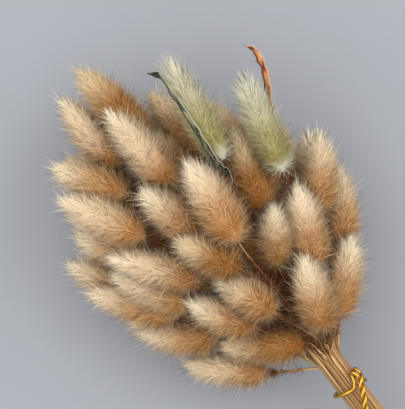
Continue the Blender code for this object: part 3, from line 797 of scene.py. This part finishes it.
class BUNCH_OT_straw_stems(bpy.types.Operator):
    """Lays a round straw stem along each stem of the frame"""

    bl_idname = "bunch.straw_stems"
    bl_label = "Straw stems"

    def execute(self, context):
        stems = context.scene.bunch_stems
        heads = [Head(name) for name in HEAD_NAMES]
        half_turns = np.abs(np.linspace(-1, 1, STEM_SIDES, endpoint=False))
        parts, values = [], []
        rng = np.random.default_rng(seed=3)
        for route, head in zip(stem_routes(heads), heads):
            route = np.vstack([route, route[-1] + head.axis * REACH_INTO_HEAD])
            rings, length, neck = stem_rings(route, stems, rng)
            parts.append(closed_tube(rings))
            side_shown = (route[1] - TIE_CENTRE) @ BUNDLE_ACROSS
            age = np.clip((side_shown / MM - GREY_FROM) / GREY_OVER, 0, GREY_MOST)
            around = np.append(np.tile(half_turns, len(length)), [0.5, 0.5])
            along = np.append(np.repeat(length, STEM_SIDES), [0.0, length[-1]])
            # The painted shade sets in from 10 to 35 mm past the neck. On a stem that is bare below its head,
            # it goes again from 15 to 9 mm before the stem's end.
            downy = np.clip((along - neck) / (25 * MM) - 0.4, 0, 1)
            if head.name in BARE_STEM_HEADS:
                downy *= np.clip((length[-1] - along) / (6 * MM) - 1.5, 0, 1)
            pick = rng.random()
            values.append(np.stack([along, around, along * 0 + pick, along * 0 + age, downy], 1))
            bare_rings = BARE_RINGS if head.name in BARE_STEM_HEADS else RINGS_IN_HEAD
            parts.append(down(rings, len(rings) - bare_rings, stems, rng))
            hairs = len(parts[-1][0])
            # Each soft hair takes a random share of the painted shade.
            hair_shade_share = np.repeat(rng.uniform(0.4, 1.0, hairs // HAIR_POINTS), HAIR_POINTS)
            values.append(np.column_stack([np.tile([0.0, 0.5, pick, age], (hairs, 1)), hair_shade_share]))
        named = dict(zip(("along", "around", "pick", "age", "downy"), np.vstack(values).T))
        obj = put_mesh("straw_stems", *as_one(parts), named)
        obj.data.materials.append(straw_material(stems))
        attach(obj, "root")
        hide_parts("stems")
        return {"FINISHED"}


# The leaves.

# For each leaf: the head whose stem it grows on, how far below the head it starts and how far off the stem's
# middle, its points in the bunch's own millimetres, its half widths in millimetres at shares of its length,
# how far it is rolled in, and how far it is turned at even steps along it, both in radians.
LEAVES = {
    "leaf_green": {
        "grows_below": "head_green_1",
        "starts_back": 9.0,
        "seat": 1.15,
        "points": (
            (115, -26, 81), (122, -27, 85), (134, -30, 87),
            (150, -33, 87), (160, -34.5, 87), (166, -31.5, 86),
        ),
        "half_widths": (
            (0.0, 0.5), (0.2, 1.9), (0.45, 1.6), (0.84, 0.8), (0.9, 2.0), (0.95, 1.9), (1.0, 0.1),
        ),
        "roll": 1.3,
        "turn": (0.4, 0.1, 0.0, -0.7),
    },
    "leaf_brown": {
        "grows_below": "head_green_2",
        "starts_back": 6.0,
        "seat": 2.18,
        "points": (
            (97, -46, 63), (108, -54, 65), (119, -62, 70), (129, -69, 76),
            (136, -72, 79), (141, -73, 80), (145, -71, 81),
        ),
        "half_widths": ((0.0, 0.4), (0.25, 0.8), (0.5, 1.5), (0.8, 1.7), (0.93, 1.1), (1.0, 0.1)),
        "roll": 1.7,
        "turn": (0.0, 0.3, -0.4, 0.5),
    },
}


# A blade's rows and columns, and how far in millimetres its foot first runs along the stem and away from it.
LEAF_ROWS = 90
LEAF_COLUMNS = 11
FOOT_ALONG = 5
FOOT_AWAY = 1.5


def leaf_path(leaf, route):
    """A blade's middle line: from beside the stem, a little way along it, then through the leaf's points."""
    back = route[::-1]
    reached = distances(back)
    length = leaf["starts_back"] * MM
    place = np.array([np.interp(length, reached, back[:, k]) for k in range(3)])
    segment = int(np.searchsorted(reached, length)) - 1
    upwards = unit(back[segment] - back[segment + 1])
    points = BUNCH_SHIFT + np.array(leaf["points"]) * MM
    aside = points[0] - place
    away = unit(aside - upwards * (aside @ upwards))
    root = place + away * leaf["seat"] * MM
    second = root + upwards * FOOT_ALONG * MM + away * FOOT_AWAY * MM
    return smooth_curve([root, second, *points], LEAF_ROWS)


def leaf_blade(name, leaf, route, thickness):
    """A dry blade of even thickness: an arc across, rolled in on itself and turned about its middle line.

    Across the blade a point lies at half width times (sin(roll u), 1 - cos(roll u)) over roll, for u from
    -1 to 1. Two waves along the blade crinkle its half width, one curls its edges and one eases its roll.
    """
    path = leaf_path(leaf, route)
    share = np.linspace(0, 1, len(path))
    places, widths = np.array(leaf["half_widths"]).T
    crinkle = 1 + 0.16 * np.sin(71 * share) + 0.12 * np.sin(43 * share + 1)
    half = (np.interp(share, places, widths) * crinkle)[:, None] * MM
    turn = np.interp(share, np.linspace(0, 1, len(leaf["turn"])), leaf["turn"])[:, None]
    side, up = turned(*level_frame(path), turn)
    u = np.linspace(-1, 1, LEAF_COLUMNS)
    roll = leaf["roll"] * (0.55 + 0.45 * np.sin(2.5 * math.pi * share))[:, None]
    across = half * np.sin(roll * u) / roll
    rise = half * (1 - np.cos(roll * u)) / roll + 0.05 * MM * np.sin(60 * share)[:, None] * u
    low = path[:, None] + side[:, None] * across[..., None] + up[:, None] * rise[..., None]
    inward = -side[:, None] * np.sin(roll * u)[..., None] + up[:, None] * np.cos(roll * u)[..., None]
    high = low + inward * thickness
    rings = np.concatenate([low[:, ::-1], high], axis=1)
    points, triangles = closed_tube(rings)
    around = np.concatenate([u[::-1], u])
    across = np.append(np.tile(around, len(path)), [0.0, 0.0])
    along = np.append(np.repeat(share, len(around)), [0.0, 1.0])
    return put_mesh(name, points, triangles, {"across": across, "along": along})


def leaf_material(name, face, rib, dark):
    """A dried grass blade: matt, ribbed from end to end, with darker blotches where it died first."""
    made, tree, shader = new_material(name, Roughness=0.8, Specular_IOR_Level=0.2)
    along, across = (
        add_node(tree, "Attribute", {"attribute_name": key}, out="Fac") for key in ("along", "across")
    )
    place = add_node(tree, "CombineXYZ", X=across, Y=along)
    # About three ribs lie across a blade, coarser than the real ones so that they show.
    ribs_place = add_node(tree, "Mapping", Vector=place, Scale=(1.5, 2.5, 1.0))
    ribs = add_node(tree, "TexNoise", Vector=ribs_place, Scale=1.6, Detail=2.0)
    blotch_place = add_node(tree, "Mapping", Vector=place, Scale=(0.6, 7.0, 1.0))
    blotches = add_node(tree, "TexNoise", Vector=blotch_place, Scale=1.0, Detail=4.0)
    colour = add_node(tree, "ValToRGB", stops=((0.32, dark), (0.44, face), (0.66, rib)), Fac=ribs)
    # The blade died first in blotches and at its foot. Along one edge it is darker, partly its own stripe and
    # partly painted shade in its fold. Its other edge is its palest.
    for where, low, high, at_low, at_high, tone in (
        (blotches, 0.43, 0.56, 0.0, 1.0, dark),
        (along, 0.1, 0.4, 0.9, 0.0, dark),
        # Partly the blade's own stripe, partly painted shade in its fold.
        (across, -0.7, -0.1, 0.9, 0.0, dark),
        (across, 0.7, 0.95, 0.0, 0.8, rib),
    ):
        ends = {"From_Min": low, "From_Max": high, "To_Min": at_low, "To_Max": at_high}
        strength = add_node(tree, "MapRange", SMOOTH, Value=where, **ends)
        colour = add_node(tree, "Mix", COLOURS, out=2, _0=strength, _6=colour, _7=tone)
    bump = add_node(tree, "Bump", Height=ribs, Strength=0.6, Distance=0.2 * MM)
    set_inputs(tree, shader, Base_Color=colour, Normal=bump)
    return made


class BUNCH_OT_dry_leaves(bpy.types.Operator):
    """Makes the rolled green leaf and the curled brown leaf"""

    bl_idname = "bunch.dry_leaves"
    bl_label = "Dry leaves"

    def execute(self, context):
        leaves = context.scene.bunch_leaves
        for name, leaf in LEAVES.items():
            kind = name.removeprefix("leaf_")
            tones = [getattr(leaves, kind + ending) for ending in ("", "_rib", "_dark")]
            route = stem_routes([Head(leaf["grows_below"])])[0]
            obj = leaf_blade("dry_" + name, leaf, route, leaves.thickness)
            obj.data.materials.append(leaf_material(f"dried {kind} blade", *tones))
            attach(obj, "root")
            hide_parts(name)
        return {"FINISHED"}


# The gold wire.

# The knot's angle from the bundle's upper side in degrees, and how far to each side of it the ring starts.
KNOT_ANGLE = 38.0
KNOT_GAP = 40.0

# The way of each end from the tail over the knot to the ring, with angles from the knot, and the tail's two
# ends: distance along the bundle in millimetres, angle in degrees, radius in millimetres.
WIRE_LEAD = (
    (5.8, 7.2, 10.9), (7.0, 7.7, 9.5), (5.8, 8.0, 8.1), (4.0, 10.3, 7.9), (2.2, 16.0, 7.9), (0.4, 27.0, 7.9),
)
TAIL_START = (4.0, 38.0, 11.3)
TAIL_END = (-14.0, -14.0, 11.1)

# How far the ring leans along the bundle at its sides, in millimetres.
RING_TILT = 1.2

# Points along a strand of the tail, the ring and the whole wire, and the wire's sides.
TAIL_ROWS = 40
RING_ROWS = 30
WIRE_ROWS = 420
WIRE_SIDES = 12


def round_bundle(distance, angle, radius):
    """Places on circles round the tied bundle, with their outward and sideways directions."""
    turn = np.radians(angle)[:, None]
    outwards = np.cos(turn) * BUNDLE_OUT - np.sin(turn) * BUNDLE_ACROSS
    sideways = -np.sin(turn) * BUNDLE_OUT - np.cos(turn) * BUNDLE_ACROSS
    place = TIE_CENTRE + distance[:, None] * MM * BUNDLE_ALONG + outwards * radius[:, None] * MM
    return place, outwards, sideways


def wire_end(side, wire):
    """One end of the wire: its strand of the tail, a helix round the tail's middle, then on to the ring."""
    s = np.linspace(1, 0, TAIL_ROWS)
    start, end = np.array(TAIL_START), np.array(TAIL_END)
    middle, outwards, sideways = round_bundle(*(start + s[:, None] * (end - start)).T)
    turn = (2 * math.pi * wire.tail_turns * s)[:, None]
    strand = middle + side * wire.twist_radius * (np.cos(turn) * sideways + np.sin(turn) * outwards)
    distance, spread_angle, radius = np.array(WIRE_LEAD).T
    return np.vstack([strand, round_bundle(distance, KNOT_ANGLE + side * spread_angle, radius)[0]])


def carried_tube(path, radius, sides):
    """A round bar along a path, its first direction across carried on from point to point untwisted."""
    forward = unit(np.gradient(path, axis=0))
    side = [unit(np.cross(forward[0], BUNDLE_OUT))]
    for ahead in forward[1:]:
        side.append(unit(side[-1] - ahead * (side[-1] @ ahead)))
    side = np.array(side)
    angle = 2 * math.pi * np.arange(sides) / sides
    return closed_tube(path[:, None] + radius * spokes(angle, side, np.cross(forward, side)))


def wire_material(wire):
    """Soft wire with a bright gold lacquer: a sharp gleam, rubbed duller in spots a millimetre across."""
    made, tree, shader = new_material("gold lacquered wire", Metallic=1.0)
    place = add_node(tree, "TexCoord", out="Object")
    rubbed = add_node(tree, "TexNoise", Vector=place, Scale=900.0, Detail=2.0)
    gloss = add_node(tree, "MapRange", Value=rubbed, To_Min=0.16, To_Max=0.36)
    colour = add_node(tree, "Mix", COLOURS, out=2, _0=rubbed, _6=wire.gold, _7=wire.worn_gold)
    set_inputs(tree, shader, Base_Color=colour, Roughness=gloss)
    return made


class BUNCH_OT_gold_wire(bpy.types.Operator):
    """Bends the gold wire round the bundle, with its knot and its twisted tail"""

    bl_idname = "bunch.gold_wire"
    bl_label = "Gold wire"

    def execute(self, context):
        wire = context.scene.bunch_wire
        angle = np.linspace(KNOT_ANGLE + KNOT_GAP, KNOT_ANGLE + 360 - KNOT_GAP, RING_ROWS)
        distance = -RING_TILT * np.sin(np.radians(angle))
        ring = round_bundle(distance, angle, np.full(RING_ROWS, wire.ring_radius / MM))[0]
        path = np.vstack([wire_end(1, wire), ring, wire_end(-1, wire)[::-1]])
        points, triangles = carried_tube(smooth_curve(path, WIRE_ROWS), wire.radius, WIRE_SIDES)
        obj = put_mesh("gold_wire", points, triangles)
        obj.data.materials.append(wire_material(wire))
        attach(obj, "root")
        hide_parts("tie_wire")
        return {"FINISHED"}


# The stage.

# The floor's side, each light's name, place, size and power, and the place that the lights face.
FLOOR_SIDE = 6.0
LIGHTS = (("key light", (0.75, 0.4, 2.2), 4.4, 94.0), ("fill light", (-0.6, -1.4, 1.4), 1.8, 22.0))
LIT_PLACE = np.array([0.08, 0.0, 0.04])

# The picture's middle in the bunch's own millimetres, its right, its width in pixels, and the camera's
# sensor in millimetres.
PICTURE_MIDDLE = np.array([107.3, -8.5, 60.0])
PICTURE_RIGHT = np.array([-0.70, -0.714, 0.0])
PICTURE_WIDTH = 405
SENSOR_WIDTH = 36.0


def floor_material(tone):
    """Matt grey paper: a very faint mottle some 60 mm across and a fine tooth of half a millimetre."""
    made, tree, shader = new_material("matt grey paper", Roughness=0.9)
    place = add_node(tree, "TexCoord", out="Object")
    mottle = add_node(tree, "TexNoise", Vector=place, Scale=16.0, Detail=2.0)
    level = add_node(tree, "MapRange", Value=mottle, To_Min=0.96, To_Max=1.04)
    colour = add_node(tree, "HueSaturation", Color=tone, Value=level)
    tooth = add_node(tree, "TexNoise", Vector=place, Scale=2000.0, Detail=2.0)
    bump = add_node(tree, "Bump", Height=tooth, Strength=0.15, Distance=0.1 * MM)
    set_inputs(tree, shader, Base_Color=colour, Normal=bump)
    return made


def put_facing(name, data, place, right, back):
    """A light or camera at a place, with these directions for its right and its back."""
    obj = bpy.data.objects.new(name, data)
    turn = Matrix(np.stack([right, np.cross(back, right), back], 1)).to_4x4()
    obj.matrix_world = Matrix.Translation(place) @ turn
    bpy.context.scene.collection.objects.link(obj)
    return obj


class BUNCH_OT_stage(bpy.types.Operator):
    """Sets the floor, the soft light and the camera that looks down on the bunch"""

    bl_idname = "bunch.stage"
    bl_label = "Stage"

    def execute(self, context):
        stage = context.scene.bunch_stage
        bpy.ops.mesh.primitive_plane_add(size=FLOOR_SIDE, location=(0, 0, 0))
        floor = context.object
        floor.name = "floor"
        floor.data.materials.append(floor_material(stage.floor))

        world = bpy.data.worlds.new("studio")
        world.use_nodes = True
        background = world.node_tree.nodes["Background"]
        set_inputs(world.node_tree, background, Color=(1.0, 0.985, 0.965), Strength=0.9)
        context.scene.world = world
        for name, place, size, power in LIGHTS:
            light = bpy.data.lights.new(name, "AREA")
            light.size = size
            light.energy = power
            back = unit(np.array(place) - LIT_PLACE)
            put_facing(name, light, place, unit(np.cross(UP, back)), back)

        lens = bpy.data.cameras.new("camera")
        lens.sensor_fit = "HORIZONTAL"
        lens.sensor_width = SENSOR_WIDTH
        lens.lens = SENSOR_WIDTH * stage.distance / (PICTURE_WIDTH * stage.scale)
        lens.clip_end = 20.0
        place = BUNCH_SHIFT + PICTURE_MIDDLE * MM + UP * stage.distance
        context.scene.camera = put_facing("camera", lens, place, PICTURE_RIGHT, UP)
        context.scene.view_settings.view_transform = "Standard"
        return {"FINISHED"}


class BUNCH_PT_sidebar(bpy.types.Panel):
    """Lists the pieces in the 3D view's sidebar"""

    bl_label = "Bunny tail grass"
    bl_idname = "BUNCH_PT_sidebar"
    bl_space_type = "VIEW_3D"
    bl_region_type = "UI"
    bl_category = "Bunny Tails"

    def draw(self, context):
        for operator in OPERATORS:
            self.layout.operator(operator.bl_idname)


OPERATORS = (
    BUNCH_OT_furry_heads,
    BUNCH_OT_straw_stems,
    BUNCH_OT_dry_leaves,
    BUNCH_OT_gold_wire,
    BUNCH_OT_stage,
)
SETTINGS = {
    "bunch_fur": FurSettings,
    "bunch_heads": HeadColours,
    "bunch_stems": StemSettings,
    "bunch_leaves": LeafSettings,
    "bunch_wire": WireSettings,
    "bunch_stage": StageSettings,
}
CLASSES = (*SETTINGS.values(), *OPERATORS, BUNCH_PT_sidebar)


def register():
    """Registers the settings, the operators and the panel."""
    for kind in CLASSES:
        bpy.utils.register_class(kind)
    for name, kind in SETTINGS.items():
        setattr(bpy.types.Scene, name, bpy.props.PointerProperty(type=kind))


def unregister():
    """Takes back what register sets."""
    for name in SETTINGS:
        delattr(bpy.types.Scene, name)
    for kind in reversed(CLASSES):
        bpy.utils.unregister_class(kind)


def main():
    """Builds every piece and the stage."""
    register()
    bpy.ops.bunch.furry_heads()
    bpy.ops.bunch.straw_stems()
    bpy.ops.bunch.dry_leaves()
    bpy.ops.bunch.gold_wire()
    bpy.ops.bunch.stage()


if __name__ == "__main__":
    main()
